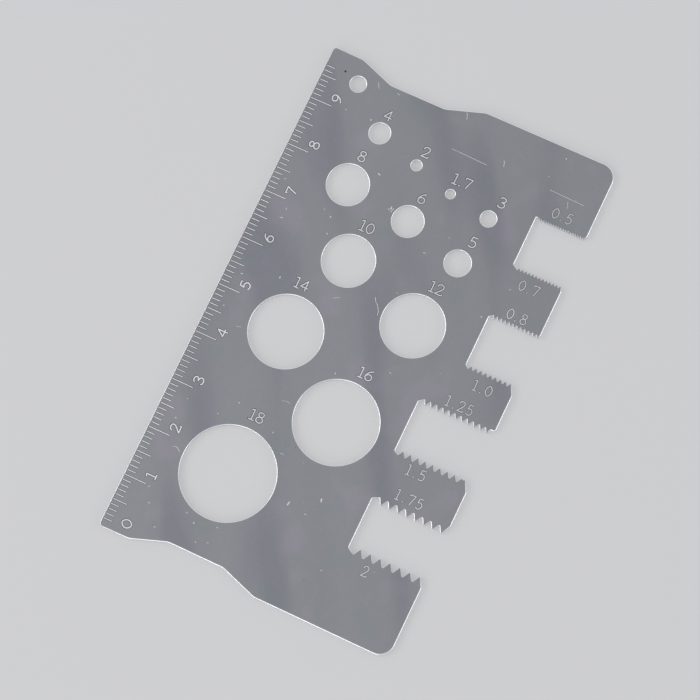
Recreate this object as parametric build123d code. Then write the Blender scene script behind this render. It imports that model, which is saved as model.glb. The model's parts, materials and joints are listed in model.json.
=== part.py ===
from build123d import *
from typing import NamedTuple
import math
import os

# Pocket screw gauge with a ruled edge, blanked from one flat sheet of stainless steel.
# Round holes sort screws by diameter, toothed slots sort them by pitch, and one long
# side is a ruler. The whole tool is a single piece. Sizes are in millimetres.
# The origin is the centre of the card's outline, on its underside. The marked face is
# up, the ruled edge is on the -X side and the ruler's numbers grow towards +Y.

# The card
card_length = 101.5
card_width = 59.35
thickness = 0.8
ruled_corner_radius = 0.7
outer_corner_radius = 3.0

# The shallow recess in each end of the card, from the ruled edge outwards
recess_start = 6.2
recess_near_ramp = 7.0
recess_floor = 11.3
recess_far_ramp = 7.5
recess_depth = 2.5
recess_bend_radius = 3.0

# The broken edge round the holes and along all of the outline but its teeth
edge_break = 0.12

# The ruler: engraved lines that start at the ruled edge, its zero near the lower end
zero_margin = 0.6
ruler_end_margin = 3.5
line_spacing = 1.0
line_width = 0.2
line_depth = 0.06
short_line = 2.0
middle_line = 3.15
long_line = 4.6
lines_per_middle = 5
lines_per_long = 10

# The slots in the other long side, and their vee teeth, which have the same flat at
# each crest and each root, as a share of the pitch
long_slot_depth = 15.35
short_slot_depth = 10.25
vee_angle = 60.0
flat_share = 1 / 8
crest_to_mouth = 0.4
mouth_corner_radius = 0.5

# The screw holes are wider than the thread that they size by this share of it
bore_ease = 0.015

# The plain hole for a cord or a key ring, near the ruler's far end
hang_hole_diameter = 3.1
hang_hole_from_ruled_edge = 7.35
hang_hole_from_end = 4.9

# Places that follow from the sizes
ruled_edge = -card_width / 2
slotted_edge = card_width / 2
lower_end = -card_length / 2
upper_end = card_length / 2
vee_slope = 1 / math.tan(math.radians(vee_angle / 2))


class Comb(NamedTuple):
    """One toothed side of a slot. Heights are from the middle of the card's length."""

    pitch: float  # from crest to crest
    line: float  # height of the pitch line, half way up the teeth
    lead: float  # from the blind end to the first crest
    wall_stop: float  # how far from the pitch line the blind end's wall stops
    land: float = 0.0  # extra width of the last crest
    last_flank: float = 9.0  # most that the last flank falls from its crest


class ScrewHole(NamedTuple):
    """A hole that sizes one thread."""

    thread: float  # nominal diameter of the thread
    across: float  # share of the way from the ruled edge to the long slots
    along: float  # share of the way from the lower end to the upper end


# Each slot from the lower end upwards: its depth, its lower comb and its upper comb
slots = [
    (
        long_slot_depth,
        Comb(2.0, -35.1, lead=2.2, wall_stop=0.15),
        Comb(1.75, -24.95, lead=1.95, wall_stop=0.05),
    ),
    (
        long_slot_depth,
        Comb(1.5, -15.1, lead=1.5, wall_stop=0.05, land=0.5),
        Comb(1.25, -4.65, lead=1.4, wall_stop=0.3, last_flank=0.8),
    ),
    (
        short_slot_depth,
        Comb(1.0, 4.85, lead=1.05, wall_stop=0.3),
        Comb(0.8, 15.35, lead=1.0, wall_stop=0.3),
    ),
    (
        short_slot_depth,
        Comb(0.7, 25.6, lead=1.3, wall_stop=0.55),
        Comb(0.5, 35.9, lead=0.75, wall_stop=-0.15),
    ),
]

screw_holes = [
    ScrewHole(18.0, across=0.400, along=0.185),
    ScrewHole(16.0, across=0.722, along=0.353),
    ScrewHole(14.0, across=0.357, along=0.468),
    ScrewHole(12.0, across=0.838, along=0.575),
    ScrewHole(10.0, across=0.467, along=0.637),
    ScrewHole(8.0, across=0.320, along=0.768),
    ScrewHole(6.0, across=0.624, along=0.750),
    ScrewHole(5.0, across=0.896, along=0.716),
    ScrewHole(4.0, across=0.347, along=0.882),
    ScrewHole(3.0, across=0.933, along=0.816),
    ScrewHole(2.0, across=0.552, along=0.854),
    ScrewHole(1.7, across=0.739, along=0.830),
]


def recess(end, depth):
    """Corners of the recess in one end of the card."""
    floor_start = ruled_edge + recess_start + recess_near_ramp
    floor_end = floor_start + recess_floor
    return [
        (floor_start - recess_near_ramp, end),
        (floor_start, end + depth),
        (floor_end, end + depth),
        (floor_end + recess_far_ramp, end),
    ]


def blank_outline():
    """The card before its slots are cut, counterclockwise from the ruler's zero."""
    lower_side = [(ruled_edge, lower_end), *recess(lower_end, recess_depth)]
    lower_side.append((slotted_edge, lower_end))
    upper_side = [(ruled_edge, upper_end), *recess(upper_end, -recess_depth)]
    upper_side.append((slotted_edge, upper_end))
    bends = [recess_bend_radius] * 4
    radii = [ruled_corner_radius, *bends, outer_corner_radius]
    points = lower_side + upper_side[::-1]
    return FilletPolyline(*points, radius=radii + radii[::-1], close=True)


def comb_points(comb, slot_depth):
    """One comb from the blind end to the mouth, as (x, height above its pitch line)."""
    wall = slotted_edge - slot_depth
    flat = comb.pitch * flat_share
    flank = comb.pitch / 2 - flat
    rise = flank * vee_slope / 2
    first_crest = wall + comb.lead
    room = slotted_edge - crest_to_mouth - comb.land - first_crest
    teeth = int(room / comb.pitch) + 1

    points = [(wall, comb.wall_stop)]
    for tooth in range(teeth):
        crest = first_crest + tooth * comb.pitch
        foot = crest - flat / 2 - flank
        points.append((foot - flat, -rise))
        points.append((foot, -rise))
        points.append((crest - flat / 2, rise))
        points.append((crest + flat / 2, rise))

    last_crest_end = points.pop()[0] + comb.land
    points.append((last_crest_end, rise))
    to_mouth = slotted_edge - last_crest_end
    fall = to_mouth * vee_slope
    ledge = to_mouth - comb.last_flank / vee_slope
    if ledge > mouth_corner_radius:
        fall = comb.last_flank
        points.append((slotted_edge - ledge, rise - fall))
    points.append((slotted_edge, rise - fall))
    return points


def slot_outline(slot_depth, lower, upper):
    """A slot's edge, out of its mouth at both ends by the width of the mouth corner."""
    way_in = [(x, lower.line + h) for x, h in comb_points(lower, slot_depth)]
    way_out = [(x, upper.line - h) for x, h in comb_points(upper, slot_depth)]
    outside = slotted_edge + mouth_corner_radius
    start = (outside, way_in[-1][1])
    finish = (outside, way_out[-1][1])
    return Polyline(start, *way_in[::-1], *way_out, finish, close=True)


def mouth_corners(vertices):
    """The corners where the slots leave the slotted edge."""
    on_edge = vertices.filter_by(lambda v: abs(v.X - slotted_edge) < 1e-6)
    straight_end = upper_end - outer_corner_radius - 1e-3
    return on_edge.filter_by(lambda v: abs(v.Y) < straight_end)


def hole_places():
    """Every round hole as (diameter, x, y)."""
    field = card_width - long_slot_depth
    for hole in screw_holes:
        x = ruled_edge + hole.across * field
        y = lower_end + hole.along * card_length
        yield hole.thread * (1 + bore_ease), x, y
    x = ruled_edge + hang_hole_from_ruled_edge
    yield hang_hole_diameter, x, upper_end - hang_hole_from_end


def ruler_lines():
    """Places of the engraved lines, listed by the length of the line."""
    zero = lower_end + zero_margin
    last = int((upper_end - ruler_end_margin - zero) / line_spacing)
    places = {short_line: [], middle_line: [], long_line: []}
    for number in range(1, last + 1):
        length = short_line
        if number % lines_per_middle == 0:
            length = middle_line
        if number % lines_per_long == 0:
            length = long_line
        places[length].append((ruled_edge, zero + number * line_spacing))
    return places


def deburred_edges(card):
    """Edges of both faces that are longer than any tooth flank."""
    coarsest = max(comb.pitch for _, *combs in slots for comb in combs)
    rims = card.faces().filter_by(Axis.Z).edges()
    return rims.filter_by(lambda edge: edge.length > coarsest)


def gauge_plate():
    """The whole card: blanked, slotted, pierced, deburred and engraved."""
    with BuildPart() as card:
        with BuildSketch() as outline:
            with BuildLine():
                blank_outline()
            make_face()
            for slot_depth, lower, upper in slots:
                with BuildLine():
                    slot_outline(slot_depth, lower, upper)
                make_face(mode=Mode.SUBTRACT)
            fillet(mouth_corners(outline.vertices()), mouth_corner_radius)
            for diameter, x, y in hole_places():
                with Locations((x, y)):
                    Circle(diameter / 2, mode=Mode.SUBTRACT)
        extrude(amount=thickness)
        chamfer(deburred_edges(card.part), edge_break)
        with BuildSketch(Plane.XY.offset(thickness)):
            for length, places in ruler_lines().items():
                with Locations(*places):
                    Rectangle(2 * length, line_width)
        extrude(amount=-line_depth, mode=Mode.SUBTRACT)
    return card.part


os.makedirs("parts", exist_ok=True)
plate = gauge_plate()
plate.label = "gauge_plate"
export_step(plate, "parts/gauge_plate.step")
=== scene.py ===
import json
import math
from typing import NamedTuple

import bpy
import numpy as np
from mathutils import Matrix, Vector
from mathutils.geometry import delaunay_2d_cdt


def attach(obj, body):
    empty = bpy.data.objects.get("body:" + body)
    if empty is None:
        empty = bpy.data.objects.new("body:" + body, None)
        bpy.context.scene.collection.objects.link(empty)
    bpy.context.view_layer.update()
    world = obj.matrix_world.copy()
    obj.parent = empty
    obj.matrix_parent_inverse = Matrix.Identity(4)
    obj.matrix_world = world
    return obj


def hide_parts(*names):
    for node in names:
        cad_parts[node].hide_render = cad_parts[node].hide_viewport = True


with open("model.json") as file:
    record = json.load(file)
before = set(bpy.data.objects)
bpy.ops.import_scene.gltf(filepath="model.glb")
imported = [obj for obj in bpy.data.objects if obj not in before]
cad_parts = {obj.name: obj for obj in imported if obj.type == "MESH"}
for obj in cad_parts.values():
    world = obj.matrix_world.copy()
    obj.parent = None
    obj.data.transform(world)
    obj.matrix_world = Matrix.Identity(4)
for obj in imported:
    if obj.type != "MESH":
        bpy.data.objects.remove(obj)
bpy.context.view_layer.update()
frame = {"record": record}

MM_PER_METRE = 1000
METRES_PER_MM = 0.001

# All lengths of the plate are in millimetres until its mesh is made. The x axis runs from
# the ruled edge to the slotted edge, and the y axis along the ruler.
CARD_LENGTH = 101.5
CARD_WIDTH = 59.35
THICKNESS = 0.8
RULED_EDGE = -CARD_WIDTH / 2
SLOTTED_EDGE = CARD_WIDTH / 2
LOWER_END = -CARD_LENGTH / 2
UPPER_END = CARD_LENGTH / 2
ZERO_MARGIN = 0.6
RULER_ZERO = LOWER_END + ZERO_MARGIN

# The card's outline. The recess in each end is given from the ruled edge and the end.
RULED_CORNER_RADIUS = 0.7
OUTER_CORNER_RADIUS = 3.0
MOUTH_CORNER_RADIUS = 0.5
RECESS = [(6.2, 0.0), (13.2, 2.5), (24.5, 2.5), (32.0, 0.0)]
RECESS_BEND_RADIUS = 3.0

# How arcs are divided: small ones into a fixed number of steps, the others by angle, and
# holes by their radius. Two arcs take at most ARC_SHARE of the edge between them. A turn
# below SMOOTH_TURN is shaded as a curve.
SMALL_ARC_RADIUS = 0.3
SMALL_ARC_STEPS = 3
ARC_STEP = math.radians(5)
ARC_SHARE = 0.98
SMOOTH_TURN = math.radians(20)
HOLE_STEPS_PER_MM = 12
LEAST_HOLE_STEPS = 48
HOLE_STEP_MULTIPLE = 8

# The rounded rim of both faces: its radius in general, along the ruled edge and round the
# holes. It shortens no edge by more than RIM_EDGE_SHARE of its length, and widens by at
# most RIM_TAPER of the way along the outline.
RIM_RADIUS = 0.2
RULED_RIM = 0.1
HOLE_RIM = 0.16
RIM_STEPS = 3
RIM_EDGE_SHARE = 0.85
RIM_TAPER = 0.5
RIM_TAPER_PASSES = 30

# The teeth, all as shares of their pitch: the flat of crests and roots, their rounding,
# and the rim. A tooth of an upper comb has a wide rim on the flank towards the blind end
# and a narrow one on the other.
FLAT_SHARE = 1 / 8
CREST_ROUNDING = 0.105
ROOT_ROUNDING = 0.05
TOOTH_RIM = 0.05
ROOT_RIM = 0.035
WIDE_RIM = 0.12
NARROW_RIM = 0.04

# The vee between two teeth, and how far the last crest stays from the mouth
VEE_ANGLE = math.radians(60)
VEE_SLOPE = 1 / math.tan(VEE_ANGLE / 2)
CREST_TO_MOUTH = 0.4


class Comb(NamedTuple):
    """One toothed side of a slot. Heights are from the middle of the card's length."""

    pitch: float  # from crest to crest
    line: float  # height of the pitch line, half way up the teeth
    lead: float  # from the blind end to the first crest
    wall_stop: float  # how far from the pitch line the blind end's wall stops
    land: float = 0.0  # extra width of the last crest
    last_flank: float = 9.0  # most that the last flank falls from its crest


# Each slot from the lower end upwards: its depth, its lower comb and its upper comb
SLOTS = [
    (15.35, Comb(2.0, -35.1, 2.2, 0.15), Comb(1.75, -24.95, 1.95, 0.05)),
    (15.35, Comb(1.5, -15.1, 1.5, 0.05, land=0.5), Comb(1.25, -4.65, 1.4, 0.3, last_flank=0.8)),
    (10.25, Comb(1.0, 4.85, 1.05, 0.3), Comb(0.8, 15.35, 1.0, 0.3)),
    (10.25, Comb(0.7, 25.6, 1.3, 0.55), Comb(0.5, 35.9, 0.75, -0.15)),
]

# The finishes of the plate, in the order of its material slots
FACE, RIM, WALL, RULER_MARK, SIZE_MARK, GROOVE_SIDE_SHADE, SCRATCH, STAIN = range(8)


class Corner(NamedTuple):
    """A corner of the outline, with the radius of its arc and the width of its rim."""

    x: float
    y: float
    radius: float
    rim: float = RIM_RADIUS


class Stroke(NamedTuple):
    """One cut line in the top face: a flat floor between two sloping sides."""

    points: np.ndarray  # its middle line
    closed: bool
    half_width: float  # at the face
    floor_half_width: float
    depth: float
    finish: int


def unit(vector):
    """The vector at length one."""
    return vector / np.linalg.norm(vector)


def rounded(corners):
    """One loop of points (x, y, rim) with an arc at each corner."""
    places = np.array([corner[:2] for corner in corners])
    ahead = np.roll(places, -1, 0) - places
    run = np.linalg.norm(ahead, axis=1)
    ahead /= run[:, None]
    back = -np.roll(ahead, 1, 0)
    half_angle = np.arccos(np.clip(np.sum(ahead * back, 1), -1, 1)) / 2
    reach = np.array([corner.radius for corner in corners]) / np.tan(half_angle)
    for i in range(len(corners)):
        pair = (i, (i + 1) % len(corners))
        smaller = min(pair, key=lambda k: reach[k])
        reach[smaller] -= max(0, reach[pair[0]] + reach[pair[1]] - ARC_SHARE * run[i])
    loop = []
    for corner, here, to_last, to_next, half, length in zip(
        corners, places, back, ahead, half_angle, reach
    ):
        radius = length * math.tan(half)
        centre = here + unit(to_last + to_next) * radius / math.sin(half)
        start = here + to_last * length - centre
        finish = here + to_next * length - centre
        first = math.atan2(start[1], start[0])
        sweep = math.remainder(math.atan2(finish[1], finish[0]) - first, math.tau)
        steps = math.ceil(abs(sweep) / ARC_STEP)
        if radius < SMALL_ARC_RADIUS:
            steps = SMALL_ARC_STEPS
        for step in range(steps + 1):
            angle = first + sweep * step / steps
            x, y = centre + radius * np.array((math.cos(angle), math.sin(angle)))
            loop.append((x, y, corner.rim))
    return np.array(loop)


def comb_corners(comb, slot_depth, upper):
    """One comb's corners from the blind end to the mouth."""
    side = -1 if upper else 1
    near_rim = comb.pitch * (WIDE_RIM if upper else TOOTH_RIM)
    far_rim = comb.pitch * (NARROW_RIM if upper else TOOTH_RIM)
    crest_radius = comb.pitch * CREST_ROUNDING
    root_radius = comb.pitch * ROOT_ROUNDING
    root_rim = comb.pitch * ROOT_RIM
    wall = SLOTTED_EDGE - slot_depth
    flat = comb.pitch * FLAT_SHARE
    flank = comb.pitch / 2 - flat
    rise = flank * VEE_SLOPE / 2
    first_crest = wall + comb.lead
    room = SLOTTED_EDGE - CREST_TO_MOUTH - comb.land - first_crest
    teeth = int(room / comb.pitch) + 1

    def corner(x, height, *looks):
        return Corner(x, comb.line + side * height, *looks)

    corners = [corner(wall, comb.wall_stop, crest_radius)]
    for tooth in range(teeth):
        crest = first_crest + tooth * comb.pitch
        foot = crest - flat / 2 - flank
        crest_end = crest + flat / 2 + (comb.land if tooth == teeth - 1 else 0)
        corners.append(corner(foot - flat, -rise, root_radius, root_rim))
        corners.append(corner(foot, -rise, root_radius, near_rim))
        corners.append(corner(crest - flat / 2, rise, crest_radius, near_rim))
        corners.append(corner(crest_end, rise, crest_radius, far_rim))
    fall = (SLOTTED_EDGE - crest_end) * VEE_SLOPE
    if comb.last_flank < fall:
        fall = comb.last_flank
        corners.append(corner(crest_end + fall / VEE_SLOPE, rise - fall, crest_radius))
    corners.append(corner(SLOTTED_EDGE, rise - fall, MOUTH_CORNER_RADIUS))
    return corners


def outline():
    """The card's outline, counterclockwise from above."""
    corners = [Corner(RULED_EDGE, LOWER_END, RULED_CORNER_RADIUS, RULED_RIM)]
    for x, depth in RECESS:
        corners.append(Corner(RULED_EDGE + x, LOWER_END + depth, RECESS_BEND_RADIUS))
    corners.append(Corner(SLOTTED_EDGE, LOWER_END, OUTER_CORNER_RADIUS))
    for slot_depth, lower, upper in SLOTS:
        corners += comb_corners(lower, slot_depth, False)[::-1]
        corners += comb_corners(upper, slot_depth, True)
    corners.append(Corner(SLOTTED_EDGE, UPPER_END, OUTER_CORNER_RADIUS))
    for x, depth in RECESS[::-1]:
        corners.append(Corner(RULED_EDGE + x, UPPER_END - depth, RECESS_BEND_RADIUS))
    corners.append(Corner(RULED_EDGE, UPPER_END, RULED_CORNER_RADIUS, RULED_RIM))
    return rounded(corners)


def round_holes():
    """The card's bores from the record, clockwise from above."""
    loops = []
    for mount in frame["record"]["mounts"]:
        if mount["kind"] != "bore":
            continue
        x, y = (MM_PER_METRE * value for value in mount["pos_m"][:2])
        radius = mount["dims"]["r_mm"]
        wanted = max(LEAST_HOLE_STEPS, HOLE_STEPS_PER_MM * radius)
        steps = HOLE_STEP_MULTIPLE * math.ceil(wanted / HOLE_STEP_MULTIPLE)
        angles = -np.arange(steps) * math.tau / steps
        across = x + radius * np.cos(angles)
        up = y + radius * np.sin(angles)
        loops.append(np.column_stack((across, up, np.full(steps, HOLE_RIM))))
    return loops


# The figures as single strokes: (closed, points), in a box one high and about 0.64 wide
DIGITS = {
    "0": [
        (True, [(0.32, 1.0), (0.08, 0.8), (0.0, 0.5), (0.08, 0.2), (0.32, 0.0), (0.56, 0.2),
                (0.64, 0.5), (0.56, 0.8)]),
    ],
    "1": [
        (False, [(0.36, 0.0), (0.36, 1.0)]),
        (False, [(0.36, 1.0), (0.14, 0.94)]),
        (False, [(0.14, 0.0), (0.58, 0.0)]),
    ],
    "2": [
        (False, [(0.04, 0.74), (0.1, 0.92), (0.31, 1.0), (0.53, 0.91), (0.57, 0.72), (0.45, 0.48),
                 (0.24, 0.24), (0.02, 0.0)]),
        (False, [(0.03, 0.0), (0.6, 0.0)]),
        (False, [(0.6, 0.0), (0.64, 0.14)]),
    ],
    "3": [
        (False, [(0.04, 0.86), (0.14, 0.97), (0.31, 1.0), (0.5, 0.92), (0.55, 0.76), (0.44, 0.6),
                 (0.24, 0.54)]),
        (False, [(0.24, 0.54), (0.46, 0.49), (0.6, 0.3), (0.53, 0.1), (0.32, 0.0), (0.12, 0.03),
                 (0.02, 0.14)]),
    ],
    "4": [
        (False, [(0.46, 0.0), (0.46, 1.0)]),
        (False, [(0.46, 1.0), (0.0, 0.3)]),
        (False, [(0.0, 0.3), (0.66, 0.3)]),
    ],
    "5": [
        (False, [(0.56, 1.0), (0.16, 1.0)]),
        (False, [(0.16, 1.0), (0.1, 0.56)]),
        (False, [(0.1, 0.56), (0.27, 0.63), (0.45, 0.6), (0.58, 0.46), (0.6, 0.26), (0.48, 0.07),
                 (0.27, 0.0), (0.03, 0.08)]),
    ],
    "6": [
        (False, [(0.56, 0.98), (0.33, 0.86), (0.13, 0.62), (0.03, 0.32), (0.12, 0.08), (0.33, 0.0),
                 (0.54, 0.1), (0.61, 0.31), (0.52, 0.51), (0.33, 0.58), (0.14, 0.49), (0.04, 0.34)]),
    ],
    "7": [
        (False, [(0.03, 0.86), (0.04, 1.0)]),
        (False, [(0.04, 1.0), (0.62, 1.0)]),
        (False, [(0.62, 1.0), (0.44, 0.52), (0.28, 0.0)]),
    ],
    "8": [
        (True, [(0.32, 1.0), (0.13, 0.92), (0.08, 0.77), (0.17, 0.62), (0.32, 0.55), (0.47, 0.62),
                (0.56, 0.77), (0.51, 0.92)]),
        (True, [(0.32, 0.55), (0.11, 0.44), (0.02, 0.27), (0.11, 0.07), (0.32, 0.0), (0.53, 0.07),
                (0.62, 0.27), (0.53, 0.44)]),
    ],
    "9": [
        (False, [(0.08, 0.02), (0.31, 0.14), (0.51, 0.38), (0.61, 0.68), (0.52, 0.92), (0.31, 1.0),
                 (0.1, 0.9), (0.03, 0.69), (0.12, 0.49), (0.31, 0.42), (0.5, 0.51), (0.6, 0.66)]),
    ],
    ".": [(False, [(0.1, 0.03), (0.13, 0.03)])],
}
DIGIT_WIDTH = 0.64

# A decimal point's step as a share of a figure's, and how much wider its stroke is
POINT_STEP = 0.62
POINT_SWELL = 1.4

NUMBER_DEPTH = 0.05


class Style(NamedTuple):
    """How a row of numbers is cut: sizes in millimetres."""

    height: float
    widening: float  # stretch of a figure's width
    step: float  # from one figure to the next
    floor_half_width: float
    side_width: float  # of each sloping side of the cut
    turned: bool  # it reads along the ruler, its top to the ruled edge
    finish: int


RULER_NUMBER = Style(1.9, 1.11, 1.4, 0.12, 0.1, True, RULER_MARK)
HOLE_NUMBER = Style(2.0, 1.1, 1.58, 0.115, 0.105, False, SIZE_MARK)
COMB_NUMBER = Style(1.95, 0.92, 1.68, 0.095, 0.075, False, SIZE_MARK)

# The ruler's lines: how far in they reach, their cut, and where their middle line runs
LONG_LINE, MIDDLE_LINE, SHORT_LINE = 4.6, 3.15, 2.0
LINES_PER_MIDDLE = 5
LINES_PER_LONG = 10
LAST_LINE = 97
LINE_HALF_WIDTH = 0.17
LINE_FLOOR = 0.088
LINE_DEPTH = 0.06
LINE_TO_RIM = 0.01
LINE_START = RULED_RIM + LINE_HALF_WIDTH + LINE_TO_RIM
LINE_END_TRIM = 0.12

# The ruler's numbers: how far in the first, the second and the others sit, how far past
# their lines, and how wide the zero is
NUMBER_PLACES = (4.66, 4.8, 4.92)
NUMBER_PAST_LINE = 1.76
ZERO_WIDENING = 1.25

# The size of each hole and comb, and its place from the ruled edge and the ruler's zero
HOLE_NUMBERS = [
    ("4", 15.3, 92.75), ("8", 14.2, 83.45), ("2", 24.9, 89.15), ("1.7", 33.4, 86.75),
    ("3", 42.15, 86.1), ("6", 28.0, 80.7), ("5", 40.35, 76.9), ("10", 20.85, 71.35),
    ("12", 37.8, 66.1), ("14", 14.4, 56.35), ("16", 32.75, 45.8), ("18", 17.75, 30.1),
]
COMB_NUMBERS = [
    ("0.5", 53.45, 88.4), ("0.7", 53.6, 73.2), ("0.8", 53.85, 67.4), ("1.0", 53.65, 52.35),
    ("1.25", 51.15, 47.65), ("1.5", 49.2, 32.85), ("1.75", 50.2, 27.85), ("2", 48.65, 12.4),
]
PLAIN_LINES = [((29.0, 91.8), (36.4, 91.6)), ((49.2, 92.1), (56.2, 91.9))]
PLAIN_HALF_WIDTH, PLAIN_FLOOR, PLAIN_DEPTH = 0.12, 0.07, 0.04

# Nicks: place, half width, half length and the angle of their length, and the seed of
# what varies among them. The bright one at (57.75, 35.34), on the last crest of the 1.5 comb, is a
# painted highlight.
NICKS_AND_HIGHLIGHT = [
    (35.6, 20.9, 0.13, 0.25, 105), (30.3, 17.8, 0.14, 0.3, 80), (34.0, 17.3, 0.1, 0.05, 0),
    (41.2, 9.15, 0.11, 0.05, 0), (15.9, 7.15, 0.11, 0.1, 90), (13.9, 8.3, 0.08, 0.1, 0),
    (20.3, 8.2, 0.08, 0.1, 30), (17.8, 4.1, 0.1, 0.05, 0), (19.9, 4.9, 0.07, 0.12, 20),
    (9.6, 3.4, 0.09, 0.1, 0), (6.7, 7.05, 0.08, 0.12, 0), (5.3, 9.8, 0.07, 0.1, 20),
    (11.0, 27.5, 0.08, 0.1, 0), (13.7, 31.0, 0.08, 0.1, 150), (21.9, 28.6, 0.09, 0.1, 90),
    (25.2, 25.6, 0.05, 0.35, 0), (4.5, 27.7, 0.07, 0.05, 0), (4.1, 23.5, 0.09, 0.1, 0),
    (10.2, 55.8, 0.09, 0.15, 90), (3.3, 53.5, 0.08, 0.15, 20), (2.9, 46.6, 0.08, 0.05, 0),
    (5.4, 66.4, 0.07, 0.25, 15), (14.6, 67.1, 0.09, 0.1, 150), (27.6, 43.5, 0.07, 0.1, 120),
    (36.9, 47.9, 0.09, 0.05, 0), (47.8, 64.6, 0.11, 0.05, 0), (31.6, 62.2, 0.07, 0.05, 0),
    (15.2, 97.3, 0.08, 0.15, 160), (7.4, 90.5, 0.09, 0.05, 0), (18.6, 81.6, 0.09, 0.2, 160),
    (23.5, 76.6, 0.12, 0.2, 100), (12.1, 71.2, 0.08, 0.05, 0), (13.8, 70.3, 0.08, 0.12, 110),
    (5.5, 68.3, 0.06, 0.2, 125), (2.7, 73.5, 0.08, 0.05, 0), (12.6, 90.6, 0.09, 0.1, 90),
    (32.9, 71.3, 0.07, 0.2, 0), (35.9, 75.8, 0.07, 0.05, 0), (49.5, 98.8, 0.07, 0.1, 120),
    (47.9, 94.3, 0.07, 0.05, 0), (50.5, 71.5, 0.07, 0.1, 90), (57.75, 35.34, 0.08, 0.17, 0),
    (23.95, 76.5, 0.07, 0.18, 95), (23.2, 76.2, 0.07, 0.1, 100), (23.75, 75.98, 0.08, 0.12, 80),
]
NICK_SEED = 5

# Their floor as a share of their half width, their depth and its spread, and the most
# that their middle bends aside, as a share of their half length
NICK_FLOOR = 0.4
NICK_DEPTH = 0.03
NICK_DEPTH_SPREAD = (0.6, 1.2)
NICK_BEND = 0.5

# Thin bent scratches, and one dark pit
SCRATCHES = [
    [(6.1, 18.4), (6.7, 18.65), (7.3, 18.3), (7.6, 18.0)],
    [(28.2, 59.8), (28.6, 59.1), (29.2, 58.5), (29.8, 57.7), (30.0, 56.8)],
    [(28.6, 99.4), (28.9, 98.8), (29.15, 98.1)],
    [(53.25, 91.2), (53.5, 90.6), (53.6, 90.1)],
    [(39.0, 93.7), (39.2, 93.2), (39.4, 92.6)],
    [(10.7, 97.9), (11.0, 97.4), (11.4, 96.8)],
    [(21.0, 56.3), (21.6, 56.7), (22.2, 56.95)],
    [(20.8, 34.7), (21.6, 34.95), (22.4, 34.9)],
    [(6.8, 43.95), (7.3, 44.05), (7.7, 44.2)],
]
SCRATCH_HALF_WIDTH, SCRATCH_FLOOR, SCRATCH_DEPTH = 0.045, 0.015, 0.012
PIT = [(4.02, 97.3), (4.08, 97.3)]
PIT_HALF_WIDTH, PIT_FLOOR, PIT_DEPTH = 0.2, 0.1, 0.06

# Where a smooth line has its points between two given ones, and the steps of a round cap
CURVE_SHARES = (0, 0.25, 0.5, 0.75)
CAP_STEPS = 4

# Depths are worked out for so many places at once, and a cut below LEAST_CUT is none
PLACES_AT_ONCE = 2000
LEAST_CUT = 1e-5

# Points nearer to each other than this are one when a face is filled
SAME_POINT = 1e-5


def smooth_line(points, closed):
    """A smooth line through the points, or the points themselves if there are only two."""
    points = np.array(points, float)
    if len(points) == 2:
        return points
    if closed:
        padded = np.vstack((points[-1], points, points[0], points[1]))
    else:
        padded = np.vstack((2 * points[0] - points[1], points, 2 * points[-1] - points[-2]))
    line = []
    for a, b, c, d in zip(padded, padded[1:], padded[2:], padded[3:]):
        for t in CURVE_SHARES:
            square = 2 * a - 5 * b + 4 * c - d
            cube = 3 * b - a - 3 * c + d
            line.append(0.5 * (2 * b + (c - a) * t + square * t**2 + cube * t**3))
    if not closed:
        line.append(points[-1])
    return np.array(line)


def plate_point(x, y):
    """A place given from the ruled edge and the ruler's zero."""
    return np.array((RULED_EDGE + x, RULER_ZERO + y))


def number_strokes(text, centre, style):
    """The cut lines of a number."""
    stretch = style.height * style.widening
    width = DIGIT_WIDTH * stretch
    places = []
    x = 0.0
    for character in text:
        places.append(x)
        x += style.step * (POINT_STEP if character == "." else 1)
    total = places[-1] + width
    strokes = []
    for character, start in zip(text, places):
        for closed, points in DIGITS[character]:
            line = smooth_line(points, closed)
            across = start + line[:, 0] * stretch - total / 2
            up = (line[:, 1] - 0.5) * style.height
            if style.turned:
                across, up = -up, across
            placed = centre + np.column_stack((across, up))
            floor = style.floor_half_width * (POINT_SWELL if character == "." else 1)
            half_width = floor + style.side_width
            strokes.append(Stroke(placed, closed, half_width, floor, NUMBER_DEPTH, style.finish))
    return strokes


def marks():
    """The ruler's lines and numbers, the size numbers and the two plain lines."""
    strokes = []
    for number in range(1, LAST_LINE + 1):
        length = SHORT_LINE
        if number % LINES_PER_MIDDLE == 0:
            length = MIDDLE_LINE
        if number % LINES_PER_LONG == 0:
            length = LONG_LINE
        points = np.array([plate_point(x, number) for x in (LINE_START, length - LINE_END_TRIM)])
        strokes.append(Stroke(points, False, LINE_HALF_WIDTH, LINE_FLOOR, LINE_DEPTH, RULER_MARK))
    for number in range(LAST_LINE // LINES_PER_LONG + 1):
        x = NUMBER_PLACES[min(number, len(NUMBER_PLACES) - 1)]
        y = LINES_PER_LONG * number + NUMBER_PAST_LINE
        style = RULER_NUMBER
        if number == 0:
            style = style._replace(widening=ZERO_WIDENING)
        strokes += number_strokes(str(number), plate_point(x, y), style)
    for numbers, style in ((HOLE_NUMBERS, HOLE_NUMBER), (COMB_NUMBERS, COMB_NUMBER)):
        for text, x, y in numbers:
            strokes += number_strokes(text, plate_point(x, y), style)
    for ends in PLAIN_LINES:
        points = np.array([plate_point(*end) for end in ends])
        cut = (PLAIN_HALF_WIDTH, PLAIN_FLOOR, PLAIN_DEPTH)
        strokes.append(Stroke(points, False, *cut, SIZE_MARK))
    return strokes


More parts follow.
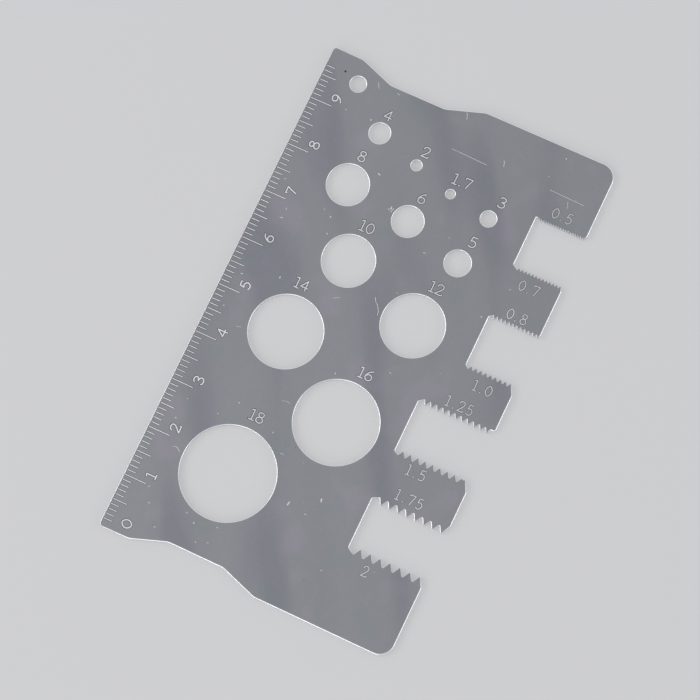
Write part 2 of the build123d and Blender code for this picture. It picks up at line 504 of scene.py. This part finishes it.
def blemishes():
    """Nicks and scratches from use, one bright nick that is a painted highlight, and the pit."""
    strokes = []
    random = np.random.default_rng(NICK_SEED)
    for x, y, half_width, reach, degrees in NICKS_AND_HIGHLIGHT:
        angle = math.radians(degrees)
        lean = np.array((math.cos(angle), math.sin(angle))) * reach
        bend = np.array((-lean[1], lean[0])) * random.uniform(-NICK_BEND, NICK_BEND)
        centre = plate_point(x, y)
        points = np.array((centre - lean, centre + bend, centre + lean))
        depth = NICK_DEPTH * random.uniform(*NICK_DEPTH_SPREAD)
        strokes.append(Stroke(points, False, half_width, NICK_FLOOR * half_width, depth, SCRATCH))
    for places in SCRATCHES:
        line = smooth_line([plate_point(*place) for place in places], False)
        cut = (SCRATCH_HALF_WIDTH, SCRATCH_FLOOR, SCRATCH_DEPTH)
        strokes.append(Stroke(line, False, *cut, SCRATCH))
    pit = np.array([plate_point(*place) for place in PIT])
    strokes.append(Stroke(pit, False, PIT_HALF_WIDTH, PIT_FLOOR, PIT_DEPTH, STAIN))
    return strokes


def ribbon(stroke, reach):
    """Closed loops round a stroke at a distance from its middle line."""
    points = stroke.points
    ahead = np.roll(points, -1, 0) - points
    if not stroke.closed:
        ahead[-1] = ahead[-2]
    ahead /= np.linalg.norm(ahead, axis=1)[:, None]
    behind = np.roll(ahead, 1, 0)
    if not stroke.closed:
        behind[0] = ahead[0]
    mitre = ahead + behind
    mitre /= (1 + np.sum(ahead * behind, 1))[:, None]
    side = np.column_stack((-mitre[:, 1], mitre[:, 0])) * reach
    if stroke.closed:
        return [points + side, points - side]
    caps = []
    for end, tangent in ((points[-1], ahead[-1]), (points[0], -ahead[0])):
        normal = np.array((-tangent[1], tangent[0]))
        cap = []
        for step in range(1, CAP_STEPS):
            angle = math.pi * step / CAP_STEPS
            cap.append(end + reach * (normal * math.cos(angle) + tangent * math.sin(angle)))
        caps.append(cap)
    return [np.vstack((points + side, caps[0], (points - side)[::-1], caps[1]))]


def stroke_depths(places, strokes):
    """Depth of the cut at each place, and the finish there."""
    starts, ends, sizes = [], [], []
    for stroke in strokes:
        count = len(stroke.points)
        for i in range(count if stroke.closed else count - 1):
            starts.append(stroke.points[i])
            ends.append(stroke.points[(i + 1) % count])
            sizes.append(stroke[2:])
    starts, ends = np.array(starts), np.array(ends)
    half, floor, deep, finish = np.array(sizes).T
    along = ends - starts
    squared = np.sum(along**2, 1)
    depths = np.zeros(len(places))
    finishes = np.full(len(places), FACE)
    for first in range(0, len(places), PLACES_AT_ONCE):
        part = places[first : first + PLACES_AT_ONCE]
        offset = part[:, None] - starts
        share = np.clip(np.sum(offset * along, 2) / squared, 0, 1)
        distance = np.linalg.norm(offset - share[..., None] * along, axis=2)
        cut = np.clip((half - distance) / (half - floor), 0, 1) * deep
        deepest = cut.argmax(1)
        rows = np.arange(len(part))
        value = cut[rows, deepest]
        on_floor = distance[rows, deepest] < floor[deepest]
        is_mark = np.isin(finish[deepest], (RULER_MARK, SIZE_MARK))
        # The sloping sides of a mark's cut get a near-black finish: painted shade.
        cut_finish = np.where(is_mark & ~on_floor, GROOVE_SIDE_SHADE, finish[deepest])
        depths[first : first + PLACES_AT_ONCE] = value
        finishes[first : first + PLACES_AT_ONCE] = np.where(value > LEAST_CUT, cut_finish, FACE)
    return depths, finishes


def inside(places, loops):
    """Whether each place is inside an odd number of loops."""
    odd = np.zeros(len(places), bool)
    x, y = places.T
    for loop in loops:
        for (ax, ay), (bx, by) in zip(loop, np.roll(loop, -1, 0)):
            spans = (ay > y) != (by > y)
            odd[spans] ^= x[spans] < ax + (y[spans] - ay) * (bx - ax) / (by - ay)
    return odd


def triangulate(ring, ring_edges, loops, extra_loops):
    """Places, the point of the ring that each one is or -1, and the triangles between them."""
    points = [Vector(p) for p in ring]
    edges = list(ring_edges)
    for loop in extra_loops:
        first = len(points)
        count = len(loop)
        points += [Vector(p) for p in loop]
        edges += [(first + i, first + (i + 1) % count) for i in range(count)]
    found, _, cells, origins, _, _ = delaunay_2d_cdt(points, edges, [], 0, SAME_POINT, True)
    places = np.array([tuple(p) for p in found])
    ring_index = np.full(len(places), -1)
    for i, sources in enumerate(origins):
        own = [s for s in sources if s < len(ring)]
        if own:
            ring_index[i] = own[0]
    faces = np.array([cell for cell in cells if len(cell) == 3])
    corners = places[faces]
    u, v = corners[:, 1] - corners[:, 0], corners[:, 2] - corners[:, 0]
    area = u[:, 0] * v[:, 1] - u[:, 1] * v[:, 0]
    faces[area < 0] = faces[area < 0][:, ::-1]
    return places, ring_index, faces[inside(corners.mean(1), loops)]


# The wall's points, loop after loop, with each one's neighbours on its loop
loops = [outline(), *round_holes()]
wall_ring, rim_cap = np.split(np.vstack(loops), [2], axis=1)
loop_starts = np.cumsum([0] + [len(loop) for loop in loops])
next_on_loop = np.concatenate(
    [start + np.roll(np.arange(len(loop)), -1) for start, loop in zip(loop_starts, loops)]
)
previous_on_loop = np.argsort(next_on_loop)

# The way along the wall and out of it, and how far it turns at each point
along = wall_ring[next_on_loop] - wall_ring
run = np.linalg.norm(along, axis=1)
along /= run[:, None]
outward = np.column_stack((along[:, 1], -along[:, 0]))
before = outward[previous_on_loop]
cosine = np.sum(before * outward, 1)
turn = np.arctan2(before[:, 0] * outward[:, 1] - before[:, 1] * outward[:, 0], cosine)
mitre = -(before + outward) / (1 + cosine)[:, None]

# The rim's radius at each point. It shortens an edge by shrink times itself at each end.
shrink = np.tan(turn / 2)
both = shrink + shrink[next_on_loop]
least_shrink = 1e-6
room = RIM_EDGE_SHARE * run / np.maximum(both, least_shrink)
room = np.where(both > least_shrink, room, RIM_RADIUS)
rim = np.minimum(rim_cap[:, 0], np.minimum(room, room[previous_on_loop]))
for _ in range(RIM_TAPER_PASSES):
    rim = np.minimum(rim, rim[next_on_loop] + RIM_TAPER * run)
    rim = np.minimum(rim, (rim + RIM_TAPER * run)[previous_on_loop])

# The rings of points from the underside round the rim and up to the top face
ring_angles = [math.radians(-90 + 90 * i / RIM_STEPS) for i in range(RIM_STEPS + 1)]
ring_angles += [math.radians(90 * i / RIM_STEPS) for i in range(RIM_STEPS + 1)]
rings = []
for i, angle in enumerate(ring_angles):
    plan = wall_ring + mitre * (rim * (1 - math.cos(angle)))[:, None]
    middle = rim if i <= RIM_STEPS else THICKNESS - rim
    rings.append(np.column_stack((plan, middle + rim * math.sin(angle))))
ring_size = len(wall_ring)

# The wall's normals at both ends of each edge, sharp where the outline has a real corner
smooth = np.abs(turn) < SMOOTH_TURN
blend = (before + outward) / np.linalg.norm(before + outward, axis=1)[:, None]
normal_at_start = np.where(smooth[:, None], blend, outward)
normal_at_end = np.where(smooth[next_on_loop][:, None], blend[next_on_loop], outward)


def tilted(flat_normals, angle):
    """Level normals turned upwards by the angle."""
    lean = np.full((len(flat_normals), 1), math.sin(angle))
    return np.hstack((flat_normals * math.cos(angle), lean))


vertices = list(np.vstack(rings))
faces, finishes, normals = [], [], []
for i in range(len(rings) - 1):
    low, high = i * ring_size, (i + 1) * ring_size
    start_low, start_high = (tilted(normal_at_start, ring_angles[i + k]) for k in (0, 1))
    end_low, end_high = (tilted(normal_at_end, ring_angles[i + k]) for k in (0, 1))
    for k in range(ring_size):
        n = next_on_loop[k]
        faces.append((low + k, low + n, high + n, high + k))
        normals += [start_low[k], end_low[k], end_high[k], start_high[k]]
        # The rounded rim gets the rim finish: smoother than the face, with a painted highlight in its
        # light colour.
        finishes.append(WALL if i == RIM_STEPS else RIM)

# Both faces, the top one with everything that is cut into it
strokes = marks() + blemishes()
ring_edges = list(enumerate(next_on_loop.tolist()))
for top in (False, True):
    ring = rings[-1 if top else 0]
    flat_loops = [ring[a:b, :2] for a, b in zip(loop_starts, loop_starts[1:])]
    extra = []
    if top:
        for stroke in strokes:
            extra += ribbon(stroke, stroke.half_width) + ribbon(stroke, stroke.floor_half_width)
    places, ring_index, triangles = triangulate(ring[:, :2], ring_edges, flat_loops, extra)
    first_of_ring = (len(rings) - 1) * ring_size if top else 0
    index = np.where(ring_index >= 0, ring_index + first_of_ring, -1)
    new = np.flatnonzero(index < 0)
    new = new[np.isin(new, triangles)]
    index[new] = len(vertices) + np.arange(len(new))
    if top:
        depths, _ = stroke_depths(places[new], strokes)
        vertices += [(x, y, THICKNESS - depth) for (x, y), depth in zip(places[new], depths)]
        _, kinds = stroke_depths(places[triangles].mean(1), strokes)
    else:
        triangles = triangles[:, ::-1]
        kinds = np.full(len(triangles), FACE)
    points = np.array(vertices)
    for triangle, kind in zip(index[triangles], kinds):
        faces.append(tuple(int(v) for v in triangle))
        a, b, c = points[triangle]
        normals += [unit(np.cross(b - a, c - a))] * 3
        finishes.append(int(kind))

mesh = bpy.data.meshes.new("gauge_plate_face")
mesh.from_pydata([tuple(METRES_PER_MM * np.array(v)) for v in vertices], [], faces)
mesh.polygons.foreach_set("use_smooth", [True] * len(faces))
mesh.polygons.foreach_set("material_index", finishes)
mesh.normals_split_custom_set([tuple(n) for n in normals])
plate = bpy.data.objects.new("gauge_card", mesh)
bpy.context.scene.collection.objects.link(plate)
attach(plate, "root")
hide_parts("gauge_plate")


# Scales are in features to the metre: patches of tone about 10 mm wide, streaks of painted shade that
# slant across the card, and grain of about 0.2 mm. The grain's height is in metres.
PATCH_SCALE = 100
STREAK_SCALE = 85
STREAK_ANGLE = math.radians(60)
STREAK_SQUEEZE = (0.22, 1.0, 1.0)
GRAIN_SCALE = 5200
GRAIN_HEIGHT = 0.00002

# Where a mottled steel has its three colours, and how far its roughness varies
MOTTLE_STOPS = (0.32, 0.5, 0.68)
ROUGHNESS_SPREAD = 0.06

# How much the number of a cell varies between one with no dot and one with a full dot
DOT_CHOICE_STEP = 0.02


class Nodes:
    """Short names for the nodes of one material."""

    def __init__(self, name):
        self.material = bpy.data.materials.new(name)
        self.material.use_nodes = True
        self.tree = self.material.node_tree
        self.shader = self.tree.nodes["Principled BSDF"]
        self.place = self.tree.nodes.new("ShaderNodeTexCoord").outputs["Object"]

    def fill(self, socket, value):
        """Link the socket to another one, or give it a value."""
        if isinstance(value, bpy.types.NodeSocket):
            self.tree.links.new(value, socket)
        elif socket.type == "RGBA":
            socket.default_value = (*value, 1)
        else:
            socket.default_value = value

    def add(self, kind, inputs=(), **settings):
        """A new node with its settings and inputs."""
        node = self.tree.nodes.new(kind)
        for key, value in settings.items():
            setattr(node, key, value)
        for key, value in dict(inputs).items():
            self.fill(node.inputs[key], value)
        return node

    def noise(self, scale, detail, roughness, place=None):
        inputs = {"Vector": place or self.place, "Scale": scale, "Detail": detail, "Roughness": roughness}
        return self.add("ShaderNodeTexNoise", inputs).outputs["Fac"]

    def patches(self):
        """Soft patches, for the tone."""
        return self.noise(PATCH_SCALE, 2.0, 0.55)

    def grain(self):
        """Fine grain, for the gloss and the bump."""
        return self.noise(GRAIN_SCALE, 3.0, 0.6)

    def dots(self, scale, first, inner, outer):
        """Scattered dots: the cells whose number is above first, each with a soft edge."""
        cells = self.add("ShaderNodeTexVoronoi", {"Vector": self.place, "Scale": scale})
        chosen = self.range(cells.outputs["Color"], 0, 1, first, first + DOT_CHOICE_STEP)
        dot = self.range(cells.outputs["Distance"], 1, 0, inner, outer)
        return self.product(chosen, dot)

    def stretched(self, angle, squeeze):
        """The object's coordinates, turned about the plate's normal and then scaled."""
        turned = self.add("ShaderNodeVectorRotate", {"Vector": self.place, "Angle": angle},
                          rotation_type="Z_AXIS").outputs["Vector"]
        scaled = self.add("ShaderNodeVectorMath", {0: turned, 1: squeeze}, operation="MULTIPLY")
        return scaled.outputs["Vector"]

    def ramp(self, factor, stops):
        """The colours at their stops, blended by the factor."""
        node = self.add("ShaderNodeValToRGB", {"Fac": factor})
        elements = node.color_ramp.elements
        while len(elements) < len(stops):
            elements.new(0.5)
        for element, (position, value) in zip(elements, stops):
            element.position = position
            element.color = (*value, 1)
        return node.outputs["Color"]

    def mix(self, factor, a, b, blend_type="MIX"):
        inputs = {0: factor, 6: a, 7: b}
        node = self.add("ShaderNodeMix", inputs, data_type="RGBA", blend_type=blend_type)
        return node.outputs[2]

    def range(self, value, low, high, start=0.0, stop=1.0):
        """The value from start to stop, turned into one from low to high."""
        inputs = {"Value": value, "From Min": start, "From Max": stop, "To Min": low, "To Max": high}
        return self.add("ShaderNodeMapRange", inputs).outputs["Result"]

    def calculate(self, operation, a, b):
        return self.add("ShaderNodeMath", {0: a, 1: b}, operation=operation).outputs[0]

    def product(self, a, b):
        return self.calculate("MULTIPLY", a, b)

    def bump(self, height, distance, strength):
        inputs = {"Height": height, "Distance": distance, "Strength": strength}
        self.link("Normal", self.add("ShaderNodeBump", inputs).outputs["Normal"])

    def link(self, name, socket):
        self.tree.links.new(socket, self.shader.inputs[name])


def steel(name, colours, roughness, bump_strength, metallic=1.0):
    """Stainless steel, mottled between its colours, with fine grain."""
    nodes = Nodes(name)
    nodes.shader.inputs["Metallic"].default_value = metallic
    stops = list(zip(MOTTLE_STOPS, colours))
    nodes.link("Base Color", nodes.ramp(nodes.patches(), stops))
    grain = nodes.grain()
    low, high = roughness - ROUGHNESS_SPREAD, roughness + ROUGHNESS_SPREAD
    nodes.link("Roughness", nodes.range(grain, low, high))
    nodes.bump(grain, GRAIN_HEIGHT, bump_strength)
    return nodes.material


# The face: its patches from dark to light, the painted shade of its streaks, its light specks and
# dark dots as (scale, first, inner, outer), amount and colour, and its rubbed hairlines, in sets of
# an angle in degrees and a scale
PATCH_STOPS = [
    (0.34, (0.336, 0.357, 0.368)),
    (0.44, (0.357, 0.353, 0.384)),
    (0.56, (0.35, 0.355, 0.375)),
    (0.66, (0.378, 0.362, 0.402)),
]
STREAK_SHADE_STOPS = [
    (0.36, (0.84, 0.855, 0.88)),
    (0.46, (0.965, 0.965, 0.97)),
    (0.62, (1.0, 1.0, 1.0)),
]
DOTS = [
    ((620.0, 0.8, 0.04, 0.11), 0.5, (0.62, 0.62, 0.64)),
    ((410.0, 0.78, 0.03, 0.09), 0.45, (0.17, 0.17, 0.19)),
]
HAIRLINES = [(17, 260.0), (-52, 320.0), (79, 230.0)]
HAIRLINE_SQUEEZE = (1.0, 60.0, 1.0)
HAIRLINE_EDGE = (0.68, 0.74)
HAIRLINE_COLOUR = (0.6, 0.6, 0.62)
HAIRLINE_AMOUNT = 0.16
HAIRLINE_POLISH = 0.08
FACE_ROUGHNESS = (0.5, 0.62)


def satin_face():
    """The tumbled face: patches of tone, streaks of painted shade, light specks, dark dots, hairlines and
    grain.
    """
    nodes = Nodes("steel_satin_face")
    nodes.shader.inputs["Metallic"].default_value = 1.0
    # The slanting streaks darken the face's colour: painted shade.
    streaks = nodes.noise(STREAK_SCALE, 1.0, 0.5, nodes.stretched(STREAK_ANGLE, STREAK_SQUEEZE))
    shade = nodes.ramp(streaks, STREAK_SHADE_STOPS)
    tone = nodes.mix(1.0, nodes.ramp(nodes.patches(), PATCH_STOPS), shade, "MULTIPLY")
    for shape, amount, colour in DOTS:
        tone = nodes.mix(nodes.product(nodes.dots(*shape), amount), tone, colour)

    grain = nodes.grain()
    roughness = nodes.range(grain, *FACE_ROUGHNESS)
    for degrees, scale in HAIRLINES:
        place = nodes.stretched(math.radians(degrees), HAIRLINE_SQUEEZE)
        line = nodes.range(nodes.noise(scale, 1.0, 0.5, place), 0, 1, *HAIRLINE_EDGE)
        tone = nodes.mix(nodes.product(line, HAIRLINE_AMOUNT), tone, HAIRLINE_COLOUR)
        polish = nodes.product(line, HAIRLINE_POLISH)
        roughness = nodes.calculate("SUBTRACT", roughness, polish)
    nodes.link("Base Color", tone)
    nodes.link("Roughness", roughness)
    nodes.bump(grain, GRAIN_HEIGHT, 0.25)
    return nodes.material


# The cut edge: the scale and stretch of its upright lines, and its tones from dark to
# light
WALL_SCALE = 3200
WALL_SQUEEZE = (1.0, 1.0, 0.08)
WALL_STOPS = [
    (0.3, (0.6, 0.6, 0.62)),
    (0.5, (0.72, 0.72, 0.74)),
    (0.7, (0.82, 0.82, 0.84)),
]
WALL_ROUGHNESS = (0.28, 0.44)


def sheared_wall():
    """The cut edge, with the fine upright lines that a punch leaves."""
    nodes = Nodes("steel_sheared_wall")
    nodes.shader.inputs["Metallic"].default_value = 1.0
    lines = nodes.noise(WALL_SCALE, 2.0, 0.6, nodes.stretched(0.0, WALL_SQUEEZE))
    nodes.link("Base Color", nodes.ramp(lines, WALL_STOPS))
    nodes.link("Roughness", nodes.range(lines, *WALL_ROUGHNESS))
    nodes.bump(lines, GRAIN_HEIGHT, 0.6)
    return nodes.material


def greys(*levels):
    """Near-neutral colours, a little blue, one for each level."""
    return [(level, level, level + 0.012) for level in levels]


# In the order of the finishes
for material in (
    satin_face(),
    # The rim is smoother than the face, and its light colour is a painted highlight.
    steel("steel_rim_painted_highlight", greys(0.88, 0.92, 0.96), 0.3, 0.2),
    sheared_wall(),
    steel("steel_ruler_mark", greys(0.75, 0.8, 0.85), 0.6, 0.6, 0.4),
    steel("steel_size_mark", greys(0.64, 0.71, 0.78), 0.55, 0.6, 0.45),
    # The sides of the cuts: painted shade, near black.
    steel("painted_shade_groove_side", greys(0.06, 0.075, 0.09), 0.5, 0.3),
    # Also used for the painted highlight on the last crest of the 1.5 comb.
    steel("steel_scratch_and_highlight", greys(0.58, 0.65, 0.72), 0.45, 0.3),
    steel("steel_stain", greys(0.05, 0.065, 0.08), 0.6, 0.3),
):
    mesh.materials.append(material)

# The floor, a hair below the plate. Half of what the camera, mirrors and glass see of it
# is its own plain colour, which lights nothing, so the notches between teeth stay clear.
FLOOR_HALF = 2.0
FLOOR_DROP = 0.00003
FLOOR_COLOUR = (0.63, 0.63, 0.64, 1)
FLOOR_ROUGHNESS = 0.9
FLOOR_SHOWN = (0.65, 0.65, 0.66)
SHOWN_SHARE = 0.5
floor_mesh = bpy.data.meshes.new("floor")
floor_corners = [
    (x * FLOOR_HALF, y * FLOOR_HALF, -FLOOR_DROP)
    for x, y in ((-1, -1), (1, -1), (1, 1), (-1, 1))
]
floor_mesh.from_pydata(floor_corners, [], [(0, 1, 2, 3)])
floor = bpy.data.objects.new("floor", floor_mesh)
bpy.context.scene.collection.objects.link(floor)
floor_nodes = Nodes("floor_paper")
floor_nodes.shader.inputs["Base Color"].default_value = FLOOR_COLOUR
floor_nodes.shader.inputs["Roughness"].default_value = FLOOR_ROUGHNESS
rays = floor_nodes.add("ShaderNodeLightPath").outputs
seen = rays["Is Camera Ray"]
for kind in ("Is Glossy Ray", "Is Transmission Ray"):
    seen = floor_nodes.calculate("MAXIMUM", seen, rays[kind])
share = floor_nodes.product(seen, SHOWN_SHARE)
plain = floor_nodes.add("ShaderNodeEmission", {"Color": FLOOR_SHOWN, "Strength": 1.0})
inputs = {0: share, 1: floor_nodes.shader.outputs[0], 2: plain.outputs[0]}
surface = floor_nodes.add("ShaderNodeMixShader", inputs)
output = floor_nodes.tree.nodes["Material Output"]
floor_nodes.tree.links.new(surface.outputs[0], output.inputs["Surface"])
floor_mesh.materials.append(floor_nodes.material)

# The studio: a plain sky that is brighter near the horizon, and three soft lamps
SKY_COLOUR = (0.96, 0.97, 1.0, 1)
SKY_LEVELS = {"From Min": 0.1, "From Max": 0.9, "To Min": 0.9, "To Max": 0.6}
world = bpy.data.worlds.new("studio")
world.use_nodes = True
sky = world.node_tree
direction = sky.nodes.new("ShaderNodeTexCoord").outputs["Generated"]
split = sky.nodes.new("ShaderNodeSeparateXYZ")
sky.links.new(direction, split.inputs[0])
level = sky.nodes.new("ShaderNodeMapRange")
for name, value in SKY_LEVELS.items():
    level.inputs[name].default_value = value
sky.links.new(split.outputs["Z"], level.inputs["Value"])
sky.links.new(level.outputs["Result"], sky.nodes["Background"].inputs["Strength"])
sky.nodes["Background"].inputs["Color"].default_value = SKY_COLOUR
bpy.context.scene.world = world


def softbox(name, place, size, power):
    """A soft lamp that faces the plate."""
    light = bpy.data.lights.new(name, "AREA")
    light.shape = "RECTANGLE"
    light.size, light.size_y = size
    light.energy = power
    lamp = bpy.data.objects.new(name, light)
    lamp.location = place
    lamp.rotation_euler = (-Vector(place)).to_track_quat("-Z", "Y").to_euler()
    bpy.context.scene.collection.objects.link(lamp)


softbox("key", (-0.9, -0.26, 0.6), (0.9, 0.55), 3.6)
softbox("side", (1.06, 0.2, 0.38), (0.8, 0.38), 2.0)
softbox("front", (-0.17, -1.05, 0.38), (0.9, 0.38), 2.6)

# The photograph's camera: its axes and place as fitted to the ruler, edges and holes, and
# its sensor and lens in millimetres
CAMERA_RIGHT = (0.899663, 0.429564, -0.077975)
CAMERA_UP = (-0.406358, 0.889212, 0.210178)
CAMERA_BACK = (0.159621, -0.157403, 0.974549)
CAMERA_PLACE = (0.086216, -0.087904, 0.536141)
SENSOR_WIDTH = 36
LENS = 151.5586
NEAR_LIMIT = 0.01
camera_data = bpy.data.cameras.new("camera")
camera_data.sensor_width = SENSOR_WIDTH
camera_data.lens = LENS
camera_data.clip_start = NEAR_LIMIT
camera = bpy.data.objects.new("camera", camera_data)
rows = zip(CAMERA_RIGHT, CAMERA_UP, CAMERA_BACK, CAMERA_PLACE)
camera.matrix_world = Matrix((*rows, (0, 0, 0, 1)))
bpy.context.scene.collection.objects.link(camera)
bpy.context.scene.camera = camera
bpy.context.scene.view_settings.view_transform = "Standard"
